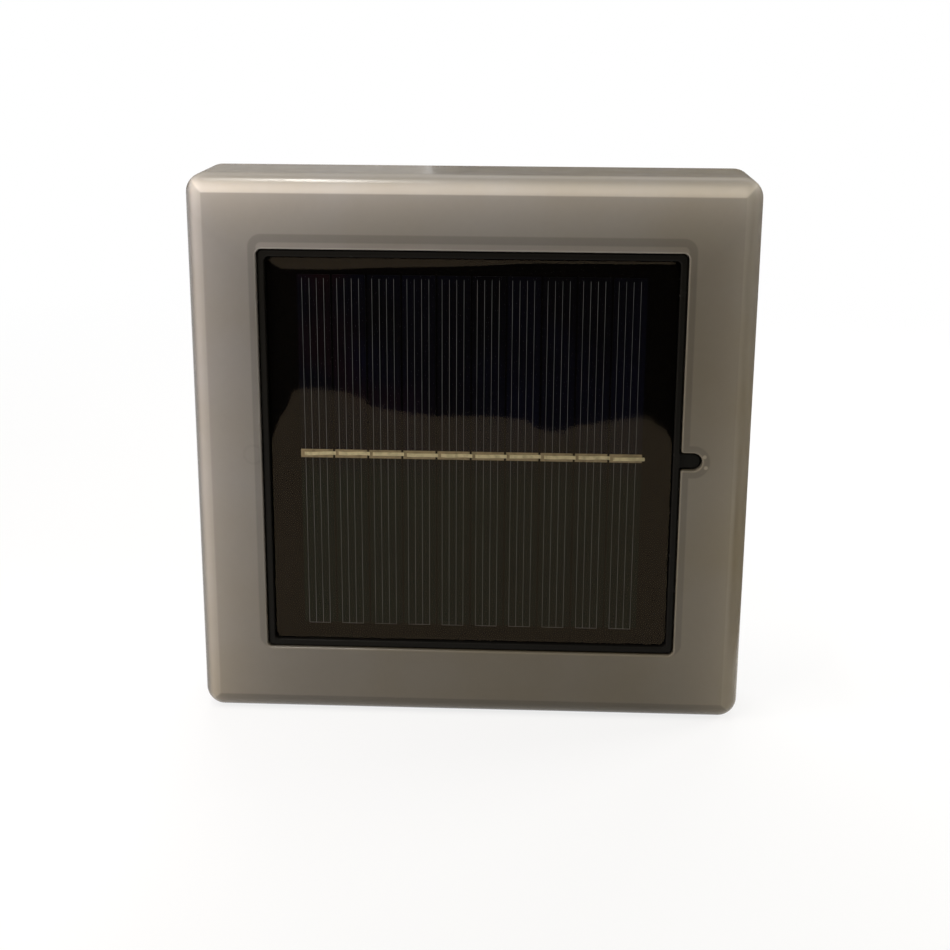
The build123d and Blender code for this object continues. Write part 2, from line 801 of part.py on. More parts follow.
with BuildPart() as battery_contacts:
    for end in (-1, 1):
        inner = end * (battery_half + contact_gap)
        outer = end * (battery_half + contact_gap + contact_thickness)
        folded = end * (bay_half + contact_fold)
        fold_top = cradle_top + contact_thickness
        with BuildSketch(Plane.XY.offset(battery_drop - contact_width / 2)):
            with BuildLine():
                Polyline(
                    (inner, -battery_axis + nub_radius),
                    (inner, -fold_top),
                    (folded, -fold_top),
                    (folded, -cradle_top),
                    (outer, -cradle_top),
                    (outer, -battery_axis + nub_radius),
                    close=True,
                )
            make_face()
        extrude(amount=contact_width)

pieces = {
    "diffuser_cover": diffuser_cover,
    "panel_tray": panel_tray,
    "panel_adhesive": panel_adhesive,
    "panel_board": panel_board,
    "panel_terminals": panel_terminals,
    "solar_cells": solar_cells,
    "tabbing_ribbons": tabbing_ribbons,
    "panel_resin": panel_resin,
    "back_plate": back_plate,
    "plate_gasket": plate_gasket,
    "plate_screws": plate_screws,
    "led_ring_board": led_ring_board,
    "led_packages": led_packages,
    "led_phosphors": led_phosphors,
    "ring_board_screws": ring_board_screws,
    "control_board": control_board,
    "control_board_screws": control_board_screws,
    "charge_chip": charge_chip,
    "inductor": inductor,
    "capacitors": capacitors,
    "resistors": resistors,
    "board_sockets": board_sockets,
    "push_switch": push_switch,
    "switch_plunger": switch_plunger,
    "button_cap": button_cap,
    "button_seal": button_seal,
    "battery_cell": battery_cell,
    "battery_cradle": battery_cradle,
    "cradle_screws": cradle_screws,
    "battery_contacts": battery_contacts,
}

os.makedirs("parts", exist_ok=True)
for name, piece in pieces.items():
    piece.part.label = name
    export_step(piece.part, f"parts/{name}.step")
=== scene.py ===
"""The looks of a square solar fence light: a milky border round a black, resin-covered panel.

Lengths are millimetres in the classes and metres in the meshes. The frame has its origin at the
middle of the back face, +Z up, and the light looks along -Y, so a height in front of the back
face is minus Y.
"""

import functools
import logging
import math
from dataclasses import dataclass, field, replace
from enum import Enum
from typing import Any, Callable, Sequence

import bmesh
import bpy
import numpy as np
from mathutils import Matrix, Vector


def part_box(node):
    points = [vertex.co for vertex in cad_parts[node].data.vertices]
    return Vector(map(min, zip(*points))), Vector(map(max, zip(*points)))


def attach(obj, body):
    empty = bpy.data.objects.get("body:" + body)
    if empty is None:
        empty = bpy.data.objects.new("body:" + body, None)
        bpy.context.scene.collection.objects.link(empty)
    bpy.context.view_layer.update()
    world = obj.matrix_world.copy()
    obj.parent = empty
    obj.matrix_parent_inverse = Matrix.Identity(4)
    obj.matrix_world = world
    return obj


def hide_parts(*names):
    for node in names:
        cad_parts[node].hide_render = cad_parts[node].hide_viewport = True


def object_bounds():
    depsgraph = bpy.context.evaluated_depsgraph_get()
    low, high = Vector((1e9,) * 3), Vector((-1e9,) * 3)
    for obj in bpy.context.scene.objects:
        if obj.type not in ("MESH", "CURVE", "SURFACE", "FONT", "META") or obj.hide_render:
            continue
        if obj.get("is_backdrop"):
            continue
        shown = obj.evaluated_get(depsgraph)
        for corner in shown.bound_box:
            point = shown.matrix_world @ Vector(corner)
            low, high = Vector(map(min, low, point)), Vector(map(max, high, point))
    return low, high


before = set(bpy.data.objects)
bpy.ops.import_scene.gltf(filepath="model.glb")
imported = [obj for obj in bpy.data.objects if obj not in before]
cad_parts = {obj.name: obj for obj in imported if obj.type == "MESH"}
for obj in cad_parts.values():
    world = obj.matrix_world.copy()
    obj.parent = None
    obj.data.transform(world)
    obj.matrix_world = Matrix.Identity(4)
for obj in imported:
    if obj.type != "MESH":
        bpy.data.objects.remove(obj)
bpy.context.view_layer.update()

MM = 0.001
IMAGE_PIXELS = 950
SENSOR = 36.0

log = logging.getLogger("fence_light")

Pair = tuple[float, float]
Point = tuple[float, float, float]
Colour = tuple[float, float, float]
Shape = tuple[np.ndarray, list[np.ndarray]]
WHITE: Colour = (1.0, 1.0, 1.0)
ACROSS, UPWARD, OUTWARD = (1.0, 0.0, 0.0), (0.0, 0.0, 1.0), (0.0, -1.0, 0.0)


# ---- shader maths


def math_node(operation: str) -> Callable[..., "Value"]:
    """A method that adds a Math node, with the value first and its operands after it."""

    def method(self: "Value", *others: Any) -> "Value":
        """Adds the node and returns its result."""
        inputs = dict(enumerate((self, *others)))
        return self.graph.value("ShaderNodeMath", {"operation": operation}, inputs)

    return method


@dataclass(eq=False)
class Value:
    """A number socket for plain arithmetic; each operation adds a Math node."""

    graph: "Graph"
    socket: bpy.types.NodeSocket

    __add__ = math_node("ADD")
    __sub__ = math_node("SUBTRACT")
    __mul__ = math_node("MULTIPLY")
    __truediv__ = math_node("DIVIDE")
    __abs__ = math_node("ABSOLUTE")
    times_plus = math_node("MULTIPLY_ADD")
    least = math_node("MINIMUM")
    most = math_node("MAXIMUM")
    root = math_node("SQRT")
    floor = math_node("FLOOR")
    sine = math_node("SINE")
    exponent = math_node("EXPONENT")

    def __rsub__(self, other: float) -> "Value":
        """A number less this."""
        return self.times_plus(-1.0, other)

    def fade(self, length: float) -> "Value":
        """e to the power of minus this over a length."""
        return (self * (-1 / length)).exponent()

    def wave(self, length: float) -> "Value":
        """The sine of this, over one turn a length."""
        return (self * (2 * math.pi / length)).sine()

    def near_one(self, swing: float) -> "Value":
        """This, from 0 to 1, as a factor about 1 that spans the swing."""
        return self * swing + (1 - swing / 2)

    def mix(self, first: Any, second: Any) -> bpy.types.NodeSocket:
        """The first colour where this is 0, blended into the second where it is 1."""
        inputs = {0: self, 6: opaque(first), 7: opaque(second)}
        return self.graph.node("ShaderNodeMix", {"data_type": "RGBA"}, inputs).outputs[2]

    def light(self, colour: Any) -> bpy.types.NodeSocket:
        """A colour times this."""
        inputs = {0: colour, "Scale": self}
        return self.graph.node("ShaderNodeVectorMath", {"operation": "SCALE"}, inputs).outputs[0]

    def ramp(self, low: float, high: float) -> "Value":
        """A smooth step between two places, either of which may be the larger.

        Args:
            low: Where it is 0.
            high: Where it is 1.

        Returns:
            The step's value.
        """
        inputs = {"Value": self, "From Min": min(low, high), "From Max": max(low, high),
                  "To Min": float(low > high), "To Max": float(low <= high)}
        settings = {"interpolation_type": "SMOOTHSTEP"}
        return self.graph.value("ShaderNodeMapRange", settings, inputs)


@dataclass
class Place:
    """A point of the surface in millimetres: its vector and its three coordinates."""

    vector: bpy.types.NodeSocket
    x: Value
    y: Value
    z: Value

    def noise(self, size: float, detail: float = 2.0, stretch: Point = (1.0, 1.0, 1.0)) -> Value:
        """Cloud noise from 0 to 1.

        Args:
            size: The size of its largest features, in millimetres.
            detail: How many finer layers it has.
            stretch: How much closer it varies along each axis.

        Returns:
            The noise.
        """
        graph = self.x.graph
        scaled = graph.node("ShaderNodeVectorMath", {"operation": "MULTIPLY"},
                            {0: self.vector, 1: stretch}).outputs[0]
        inputs = {"Vector": scaled, "Scale": 1 / size, "Detail": detail}
        return graph.value("ShaderNodeTexNoise", {}, inputs, "Fac")


class Graph:
    """A material's or the world's node tree, with one method that adds any node."""

    def __init__(self, owner: bpy.types.Material | bpy.types.World) -> None:
        """Clears the owner's tree down to one output.

        Args:
            owner: The material or the world.
        """
        self.owner = owner
        owner.use_nodes = True
        self.tree = owner.node_tree
        self.tree.nodes.clear()
        kind = "World" if isinstance(owner, bpy.types.World) else "Material"
        self.output = self.node("ShaderNodeOutput" + kind)

    def node(self, kind: str, settings: dict[str, Any] | None = None,
             inputs: dict[Any, Any] | None = None) -> bpy.types.Node:
        """Adds a node, sets it up and then fills its sockets.

        Args:
            kind: The node's type.
            settings: Its own properties, set before any socket.
            inputs: Values or links, by socket name or number.

        Returns:
            The new node.
        """
        made = self.tree.nodes.new(kind)
        for key, value in (settings or {}).items():
            setattr(made, key, value)
        for key, value in (inputs or {}).items():
            source = value.socket if isinstance(value, Value) else value
            if isinstance(source, bpy.types.NodeSocket):
                self.tree.links.new(source, made.inputs[key])
            else:
                made.inputs[key].default_value = source
        return made

    def value(self, kind: str, settings: dict[str, Any], inputs: dict[Any, Any],
              output: int | str = 0) -> Value:
        """Adds a node and wraps one of its outputs as a number."""
        return Value(self, self.node(kind, settings, inputs).outputs[output])

    def place(self) -> Place:
        """The point on the surface, in millimetres of the piece's own coordinates."""
        source = self.node("ShaderNodeTexCoord").outputs["Object"]
        scaled = self.node("ShaderNodeVectorMath", {"operation": "SCALE"},
                           {0: source, "Scale": 1 / MM}).outputs[0]
        parts = self.node("ShaderNodeSeparateXYZ", None, {0: scaled}).outputs
        return Place(scaled, *(Value(self, part) for part in parts))

    def relief(self, height: Value, depth: float) -> bpy.types.NodeSocket:
        """A normal bent by a height from 0 to 1, where 1 is a depth in millimetres."""
        inputs = {"Strength": 1.0, "Distance": depth * MM, "Height": height}
        return self.node("ShaderNodeBump", None, inputs).outputs["Normal"]

    def finish(self, shader: bpy.types.Node) -> bpy.types.Material | bpy.types.World:
        """Joins a shader to the output and returns the owner."""
        self.tree.links.new(shader.outputs[0], self.output.inputs["Surface"])
        return self.owner


def opaque(colour: Any) -> Any:
    """A plain colour with full alpha, or whatever else was given."""
    return (*colour[:3], 1.0) if isinstance(colour, tuple) else colour


def window_distance(place: Place, width: float, height: float, radius: float) -> Value:
    """How far a point lies outside a rounded rectangle in the XZ plane.

    With q the point's offsets past the corner circle's centre, the distance is the length of
    q's positive part, plus the larger of q where both are negative, less the radius.

    Args:
        place: The point on the surface.
        width: The rectangle's width.
        height: The rectangle's height.
        radius: Its corner radius.

    Returns:
        The distance in millimetres, negative inside.
    """
    across = abs(place.x) - (width / 2 - radius)
    up = abs(place.z) - (height / 2 - radius)
    wide, tall = across.most(0.0), up.most(0.0)
    return (wide * wide + tall * tall).root() + across.most(up).least(0.0) - radius


def capsule_distance(place: Place, start: float, end: float, level: float,
                     radius: float) -> Value:
    """How far a point lies outside a level round-ended bar in the XZ plane.

    Args:
        place: The point on the surface.
        start: Where the bar's left end circle has its centre.
        end: Where its right end circle has its centre.
        level: The height of its middle line.
        radius: Its half width.

    Returns:
        The distance in millimetres, negative inside.
    """
    across = (start - place.x).most(place.x - end).most(0.0)
    up = place.z - level
    return (across * across + up * up).root() - radius


@dataclass(frozen=True)
class Band:
    """A tone that comes in softly over a distance."""

    start: float
    full: float
    amount: float

    def over(self, distance: Value) -> Value:
        """Nothing before the start, and the whole amount past full."""
        return distance.ramp(self.start, self.full) * self.amount


# ---- finishes


@dataclass(frozen=True)
class Finish:
    """A plain moulded or coated finish: a colour with slow tone changes and a fine grain."""

    name: str
    colour: Colour
    roughness: float = 0.45
    metallic: float = 0.0
    coat: float = 0.0
    coat_roughness: float = 0.1
    ior: float = 1.5
    mottle: float = 0.1
    mottle_size: float = 9.0
    gloss_change: float = 0.12
    grain: float = 0.01
    grain_size: float = 0.25

    def shade(self, place: Place) -> Any:
        """The plain colour times slow cloud noise."""
        return place.noise(self.mottle_size, 3.0).near_one(2 * self.mottle).light(self.colour)

    def gloss(self, place: Place) -> Value:
        """The roughness, a little uneven at half the mottle's size."""
        cloud = place.noise(self.mottle_size / 2, 2.0)
        return (cloud - 0.5) * self.gloss_change + self.roughness

    def height(self, place: Place) -> Value:
        """Fine grain, from 0 to 1."""
        return place.noise(self.grain_size, 1.0)

    def constants(self) -> dict[str, Any]:
        """What is the same all over the surface, by the shader's socket names."""
        return {"Metallic": self.metallic, "IOR": self.ior, "Coat Weight": self.coat,
                "Coat Roughness": self.coat_roughness}

    def material(self) -> bpy.types.Material:
        """Builds the finish's material.

        Returns:
            The material.
        """
        graph = Graph(bpy.data.materials.new(self.name))
        place = graph.place()
        inputs = {
            "Base Color": self.shade(place),
            "Roughness": self.gloss(place),
            "Normal": graph.relief(self.height(place), self.grain),
            **self.constants(),
        }
        return graph.finish(graph.node("ShaderNodeBsdfPrincipled", None, inputs))


@dataclass(frozen=True)
class MilkyPlastic(Finish):
    """Milky polycarbonate, with painted light towards the outline and painted shade over the collar
    behind it.

    The window is a width, a height and a corner radius; the notch and the lobe are round-ended
    bars. The glow and the edge bands are painted light and shade; they and the drift of colour
    are fitted to the photograph's light.
    """

    window: Point = (90.05, 89.0, 1.2)
    notch: tuple[float, ...] = (0.0, 47.575, 0.0, 1.95)
    lobe: tuple[float, ...] = (-46.825, -46.825, 0.0, 2.15)
    half: float = 60.025
    middle: Pair = (-8.0, 8.0)
    reach: float = 8.0
    # painted light towards the outline: some at the sides, far more at the top, little at the foot
    side_painted_light: float = 1.1
    top_painted_light: float = 2.5
    foot_painted_light: float = 0.1
    corner_share: float = 0.3
    # painted highlight bands on the rounded edges: weak at the sides, strong at the top, painted
    # shade at the foot
    side_painted_band: float = 0.12
    top_painted_band: float = 0.65
    foot_painted_band: float = -0.3
    painted_band_base: float = 0.04
    painted_band_edge: Pair = (4.15, 3.75)
    painted_band_rise: Pair = (0.6, 3.3)
    mitre: float = 0.4
    # painted shade on the outermost strip, and on the left side towards the front
    outer_painted_shade: Band = Band(2.2, 0.5, 0.3)
    left_painted_shade: Band = Band(2.4, 0.6, 0.45)
    rounding: Pair = (-16.0, -18.5)
    # painted highlight along the window's edge
    lip_painted_highlight: Band = Band(0.45, 0.25, 0.25)
    # painted shade of the collar seen through the wall, drawn higher than the window by the lift
    collar_painted_shade: Band = Band(1.85, 1.4, 0.22)
    collar_inside: Pair = (-0.3, 0.1)
    collar_lift: float = 1.5
    # a painted ring of shade round the lobe's outline; the clear band takes it off again further
    # inside
    lobe_painted_shade: Band = Band(0.25, 0.0, 0.05)
    lobe_clear: Band = Band(-0.25, -0.6, 0.05)
    # two painted glints by the notch's tip
    painted_glints: tuple[Pair, ...] = ((49.95, 1.2), (50.3, -1.2))
    painted_glint: Band = Band(0.3, 0.0, 0.8)
    painted_glint_radius: float = 0.25
    fleck_size: float = 1.6
    fleck: float = 0.04
    warm: Colour = (0.110, 0.0935, 0.065)
    drift: Band = Band(-100.0, 100.0, 0.8)
    drift_lean: float = 1.3
    cloud: Band = Band(0.35, 0.65, 0.2)
    cloud_size: float = 26.0
    ripples: tuple[Pair, Pair] = ((1.1, 0.35), (14.0, 3.0))
    scatter: float = 0.35
    scatter_reach: Colour = (1.0, 0.9, 0.75)
    scatter_depth: float = 2.5

    def inward(self, place: Place) -> tuple[Value, Value]:
        """How far a point lies in from the outline's sides, and from its top and foot."""
        return self.half - abs(place.x), self.half - abs(place.z)

    def by_height(self, place: Place, top: float, foot: float) -> Value:
        """One amount above the middle and another below it."""
        return place.z.ramp(*self.middle) * (top - foot) + foot

    def painted_rim_light(self, place: Place) -> Value:
        """Painted light that grows towards the outline, far stronger at the top than at the foot, by
        e to minus the distance over its reach.

        Args:
            place: The point on the surface.

        Returns:
            The stronger of the sides' and the ends' painted light, and a share of the weaker.
        """
        beside, above = self.inward(place)
        sides = beside.fade(self.reach) * self.side_painted_light
        ends = above.fade(self.reach) * self.by_height(place, self.top_painted_light, self.foot_painted_light)
        return sides.most(ends) + sides.least(ends) * self.corner_share

    def edges(self, place: Place) -> Value:
        """Painted highlight bands along the rounded edges, strongest at the top and turning to
        painted shade at the foot, less painted shade on the outermost strip and at the left; they
        meet in a mitre at the corners.

        Args:
            place: The point on the surface.

        Returns:
            What the painted highlight and shade of the edges add to the tone.
        """
        beside, above = self.inward(place)
        outside = beside.least(above)
        ends = self.by_height(place, self.top_painted_band, self.foot_painted_band) - self.side_painted_band
        rim = (beside - above).ramp(-self.mitre, self.mitre) * ends + self.side_painted_band
        # the painted highlight band, which turns to painted shade at the foot
        lit = outside.ramp(*self.painted_band_edge) * (outside.ramp(*self.painted_band_rise) * rim + self.painted_band_base)
        # painted shade along the left side's front edge
        left = self.left_painted_shade.over(place.x + self.half) * place.y.ramp(*self.rounding)
        return lit - self.outer_painted_shade.over(outside) - left

    def openings(self, place: Place) -> Value:
        """The painted marks round the window: a painted highlight on its lip, painted shade of the
        collar behind it, a painted ring of shade at the lobe, and two painted glints.

        Args:
            place: The point on the surface.

        Returns:
            What they add to the tone.
        """
        notch = capsule_distance(place, *self.notch)
        opening = window_distance(place, *self.window).least(notch)
        raised = replace(place, z=place.z - self.collar_lift)
        behind = window_distance(raised, *self.window).least(notch)
        lobe = capsule_distance(place, *self.lobe)
        # painted highlight on the lip, less the painted shade of the collar
        tone = self.lip_painted_highlight.over(opening) - self.collar_painted_shade.over(behind) * behind.ramp(*self.collar_inside)
        # the painted ring of shade at the lobe
        tone = tone - self.lobe_painted_shade.over(lobe) + self.lobe_clear.over(lobe)
        # the two painted glints
        for x, z in self.painted_glints:
            tone = tone + self.painted_glint.over(capsule_distance(place, x, x, z, self.painted_glint_radius))
        return tone

    def shade(self, place: Place) -> Any:
        """The milky colour, drifting to a warmer one towards the lower right, times the three tones:
        painted light at the outline, painted highlight and shade on the edges, and the painted marks
        round the window with random flecks.

        Args:
            place: The point on the surface.

        Returns:
            The colour's socket.
        """
        # the colour turns warmer towards the lower right, and a little more in slow clouds
        warm_share = self.drift.over(place.x - place.z * self.drift_lean)
        warm_share = warm_share + self.cloud.over(place.noise(self.cloud_size))
        flecks = (place.noise(self.fleck_size) - 0.5) * self.fleck
        # painted light at the outline, times the painted highlight and shade of the edges
        tone = (self.painted_rim_light(place) + 1.0) * (self.edges(place) + 1.0)
        tone = tone * (self.openings(place) + flecks + 1.0)
        return tone.light(warm_share.mix(self.colour, self.warm))

    def height(self, place: Place) -> Value:
        """A slight orange-peel, with a slow waviness under it."""
        peel, wave = (place.noise(size, 1.0) * height for size, height in self.ripples)
        return peel + wave

    def constants(self) -> dict[str, Any]:
        """The plain finish's, with light that scatters a little way into the wall."""
        look = {"Subsurface Weight": self.scatter, "Subsurface Radius": self.scatter_reach,
                "Subsurface Scale": self.scatter_depth * MM}
        return {**super().constants(), **look}


@dataclass(frozen=True)
class ClearResin(Finish):
    """Clear resin over dark cells: it shows what is under it, and a dim sharp reflection."""

    cover: float = 0.38
    warmth: Colour = (1.0, 0.76, 0.48)

    def constants(self) -> dict[str, Any]:
        """The plain finish's, see-through, with a warm reflection."""
        look = {"Alpha": self.cover, "Specular Tint": opaque(self.warmth)}
        return {**super().constants(), **look}


@dataclass(frozen=True)
class Silicon(Finish):
    """Solar cell silicon: each strip a slightly different blue-black, with a fine sparkle."""

    count: int = 10
    pitch: float = 7.4
    strip_step: float = 0.37
    strip_swing: float = 0.3
    tinted: Colour = (0.004, 0.0045, 0.011)
    drift: Band = Band(0.4, 0.62, 0.5)
    drift_size: float = 24.0
    # painted reflection: a reddish-brown patch at the upper left
    painted_reflection_brown: Colour = (0.014, 0.005, 0.005)
    painted_reflection: Pair = (0.42, 0.6)
    painted_reflection_size: float = 34.0
    painted_reflection_left: Pair = (0.0, -30.0)
    painted_reflection_top: Pair = (-5.0, 15.0)
    # painted reflection: greener over the lower half
    lower: Colour = (0.004, 0.0092, 0.0072)
    lower_painted_reflection_start: Pair = (2.0, -8.0)
    sparkle: float = 0.4
    sparkle_size: float = 0.35

    def shade(self, place: Place) -> Any:
        """The strip's own tone, from its number, a random drift of the coating, and painted
        reflection: a reddish-brown patch at the upper left and a greener lower half.

        Args:
            place: The point on the surface.

        Returns:
            The colour's socket.
        """
        strip = (place.x / self.pitch + self.count / 2).floor()
        own = (strip * self.strip_step).wave(1.0) * self.strip_swing + 0.5
        drift = self.drift.over(place.noise(self.drift_size))
        colour = (own * 0.5 + drift).mix(self.colour, self.tinted)
        # painted reflection on the cells: a brown patch at the upper left, then a greener lower half
        painted_reflection = place.noise(self.painted_reflection_size).ramp(*self.painted_reflection)
        painted_reflection = painted_reflection * place.x.ramp(*self.painted_reflection_left) * place.z.ramp(*self.painted_reflection_top)
        colour = place.z.ramp(*self.lower_painted_reflection_start).mix(painted_reflection.mix(colour, self.painted_reflection_brown), self.lower)
        return place.noise(self.sparkle_size, 1.0).near_one(self.sparkle).light(colour)


@dataclass(frozen=True)
class Metal(Finish):
    """Bare or plated metal: fine streaks along one axis, and dull blotches."""

    streak: Point = (1.0, 8.0, 1.0)
    streak_size: float = 0.6
    streak_dim: float = 0.3
    scratch_size: float = 0.5
    blotch: Band = Band(0.4, 0.75, 0.35)
    dull: Band = Band(0.4, 0.75, 0.25)

    def shade(self, place: Place) -> Any:
        """The metal's colour, dimmer in streaks and blotches."""
        streaks = place.noise(self.streak_size, 2.0, self.streak).near_one(self.streak_dim)
        return (streaks - self.blotch.over(place.noise(self.mottle_size, 3.0))).light(self.colour)

    def gloss(self, place: Place) -> Value:
        """Rougher in the blotches."""
        return self.dull.over(place.noise(self.mottle_size, 3.0)) + self.roughness

    def height(self, place: Place) -> Value:
        """Streaks."""
        return place.noise(self.scratch_size, 1.0, self.streak)


@dataclass(frozen=True)
class SparkTexture(Finish):
    """The fine pitted texture of a moulded back plate."""

    pits: float = 0.6
    cloud: float = 0.5

    def height(self, place: Place) -> Value:
        """Small round pits over cloud noise of twice their size."""
        inputs = {"Vector": place.vector, "Scale": 1 / self.grain_size}
        settings = {"feature": "SMOOTH_F1"}
        pits = place.x.graph.value("ShaderNodeTexVoronoi", settings, inputs, "Distance")
        return pits.least(1.0) * self.pits + place.noise(self.grain_size * 2) * self.cloud


@dataclass(frozen=True)
class CircuitBoard(Finish):
    """A circuit board under solder mask, with the copper tracks showing as lighter lines."""

    track: Colour = (0.04, 0.25, 0.10)
    track_pitch: float = 1.9
    track_width: Pair = (0.35, 0.6)
    jog: Pair = (0.48, 0.54)
    jog_size: float = 9.0
    area: Band = Band(0.42, 0.5, 0.8)
    area_size: float = 6.0

    def shade(self, place: Place) -> Any:
        """Tracks run along X, and step from row to row with the noise.

        Args:
            place: The point on the surface.

        Returns:
            The colour's socket.
        """
        step = place.noise(self.jog_size, 1.0).ramp(*self.jog) * self.track_pitch
        line = (place.z + step).wave(self.track_pitch).ramp(*self.track_width)
        here = self.area.over(place.noise(self.area_size, 0.0))
        return (line * here).mix(super().shade(place), self.track)


@dataclass(frozen=True)
class Wrap(Finish):
    """Printed shrink film on a cell: a plain body with one plain band at its end."""

    band: Colour = (0.55, 0.56, 0.58)
    band_start: Pair = (14.0, 14.2)

    def shade(self, place: Place) -> Any:
        """The film's colour, changed past the start of the band."""
        return place.x.ramp(*self.band_start).mix(super().shade(place), self.band)


class Looks(Enum):
    """The finishes of the light, each named for what it covers."""

    COVER = MilkyPlastic("milky_polycarbonate", (0.131, 0.1235, 0.115), roughness=0.2, ior=1.4,
                         grain=0.012)
    TRAY = Finish("black_abs", (0.0080, 0.0075, 0.0064), roughness=0.25, ior=1.12, grain=0.006,
                  grain_size=0.6)
    BOARD = Finish("dark_board", (0.002, 0.0016, 0.0012), roughness=0.5, ior=1.05)
    RESIN = ClearResin("clear_resin", (0.0010, 0.0010, 0.0010), roughness=0.03, gloss_change=0.02,
                       grain=0.0, mottle_size=30.0)
    SILICON = Silicon("silicon", (0.003, 0.0028, 0.003), roughness=0.5, ior=1.05, grain=0.0)
    PASTE = Metal("silver_paste", (0.40, 0.31, 0.165), roughness=0.55, mottle_size=1.5,
                  streak=(1.0, 1.0, 1.0), grain=0.006)
    FINGER = Metal("finger_silver", (0.15, 0.155, 0.155), roughness=0.5, grain=0.001,
                   streak=(1.0, 1.0, 0.1))
    RIBBON = Metal("tinned_copper", (0.92, 0.80, 0.47), roughness=0.34, metallic=0.2,
                   mottle_size=1.2, streak=(1.0, 4.0, 6.0), grain=0.012)
    PLATE = SparkTexture("grey_abs", (0.055, 0.055, 0.06), roughness=0.55, grain=0.02,
                         grain_size=0.35, mottle_size=25.0)
    RUBBER = Finish("black_silicone", (0.025, 0.025, 0.026), roughness=0.6)
    ZINC = Metal("zinc_steel", (0.55, 0.55, 0.54), roughness=0.3, metallic=1.0, mottle_size=1.5,
                 streak=(3.0, 1.0, 1.0), grain=0.006)
    FOAM = Finish("foam_tape", (0.62, 0.61, 0.56), roughness=0.85, grain=0.05, grain_size=0.4)
    WHITE_BOARD = CircuitBoard("white_board", (0.72, 0.72, 0.69), roughness=0.35,
                               track=(0.80, 0.80, 0.77), track_pitch=2.6)
    GREEN_BOARD = CircuitBoard("green_board", (0.015, 0.13, 0.05), roughness=0.3)
    GEL = Finish("phosphor", (0.75, 0.62, 0.12), roughness=0.3, mottle=0.2, mottle_size=0.8)
    EPOXY = Finish("black_epoxy", (0.02, 0.02, 0.02), roughness=0.6, grain_size=0.1)
    FERRITE = Finish("ferrite", (0.045, 0.042, 0.04), roughness=0.7, grain=0.03, grain_size=0.3)
    CAN = Metal("aluminium_can", (0.72, 0.73, 0.74), roughness=0.25, metallic=1.0,
                mottle_size=2.0, streak=(1.0, 6.0, 1.0), grain=0.004)
    NYLON = Finish("white_nylon", (0.72, 0.71, 0.66), roughness=0.5)
    WRAP = Wrap("battery_wrap", (0.035, 0.10, 0.26), roughness=0.25, coat=0.3, grain_size=3.0)
    NICKEL = Metal("nickel", (0.60, 0.58, 0.52), roughness=0.28, metallic=1.0, mottle_size=2.5,
                   grain=0.004)

    @functools.cache
    def material(self) -> bpy.types.Material:
        """The finish's material, built the first time it is asked for."""
        return self.value.material()


def dress(node: str, look: Looks) -> None:
    """Gives a node of the frame its finish.

    Args:
        node: The node's name.
        look: The finish.
    """
    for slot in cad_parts[node].material_slots:
        slot.material = look.material()
    log.info("dressed %s with %s", node, look.value.name)


# ---- surfaces


def grid_quads(rows: int, columns: int, closed: bool = False) -> np.ndarray:
    """The quads of a grid of points that are numbered row by row.

    Args:
        rows: How many rows of points.
        columns: How many points a row.
        closed: Whether each row closes on itself.

    Returns:
        The quads, each four point numbers.
    """
    start = np.arange(rows - 1)[:, None] * columns
    column = np.arange(columns if closed else columns - 1)[None, :]
    after = (column + 1) % columns
    corners = (start + column, start + after, start + columns + after, start + columns + column)
    return np.stack(corners, axis=-1).reshape(-1, 4)


def end_caps(rows: int, columns: int) -> np.ndarray:
    """The two faces that close a grid's first and last row."""
    first = np.arange(columns)
    return np.stack([first[::-1], first + (rows - 1) * columns])


def ring(radius: float, turn: np.ndarray) -> np.ndarray:
    """A circle's points in the XZ plane, at the given turns."""
    return np.stack([radius * np.cos(turn), np.zeros_like(turn), radius * np.sin(turn)], 1)


def repeated(shape: Shape, offsets: np.ndarray) -> Shape:
    """Copies one shape to several places, as whole arrays.

    Args:
        shape: The shape's points, and its faces, an array for each number of corners.
        offsets: Where the copies go.

    Returns:
        All points and all faces.
    """
    points, faces = shape
    moved = (points[None, :, :] + offsets[:, None, :]).reshape(-1, 3)
    starts = (np.arange(len(offsets)) * len(points))[:, None, None]
    return moved, [(group[None, :, :] + starts).reshape(-1, group.shape[1]) for group in faces]


def linked(name: str, data: bpy.types.ID) -> bpy.types.Object:
    """Makes an object from its data and links it to the scene."""
    made = bpy.data.objects.new(name, data)
    bpy.context.scene.collection.objects.link(made)
    return made


def mesh_object(name: str, points: np.ndarray, faces: Sequence[np.ndarray],
                material: bpy.types.Material) -> bpy.types.Object:
    """Makes a mesh and its object.

    Args:
        name: The name of both.
        points: The points in metres.
        faces: The faces, an array for each number of corners.
        material: The material.

    Returns:
        The object.
    """
    mesh = bpy.data.meshes.new(name)
    mesh.from_pydata(points.tolist(), [], [face for group in faces for face in group.tolist()])
    mesh.materials.append(material)
    return linked(name, mesh)


def make_piece(name: str, shape: Shape, look: Looks, stands_for: Sequence[str] = (),
               smooth: float = 40.0, body: str = "housing") -> None:
    """Makes a piece, closes its seams and gives it its finish and body.

    Args:
        name: The piece's name.
        shape: Its points in millimetres and its faces.
        look: Its finish.
        stands_for: The nodes that it replaces.
        smooth: The sharpest angle, in degrees, that is still shaded smooth.
        body: The body that it rides on.
    """
    piece = mesh_object(name, shape[0] * MM, shape[1], look.material())
    mesh = piece.data
    mesh.validate()
    shell = bmesh.new()
    shell.from_mesh(mesh)
    bmesh.ops.remove_doubles(shell, verts=shell.verts, dist=1e-7)
    bmesh.ops.recalc_face_normals(shell, faces=shell.faces)
    shell.to_mesh(mesh)
    shell.free()
    mesh.shade_smooth()
    mesh.set_sharp_from_angle(angle=math.radians(smooth))
    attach(piece, body)
    if stands_for:
        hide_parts(*stands_for)
    log.info("made %s: %d faces", name, len(mesh.polygons))


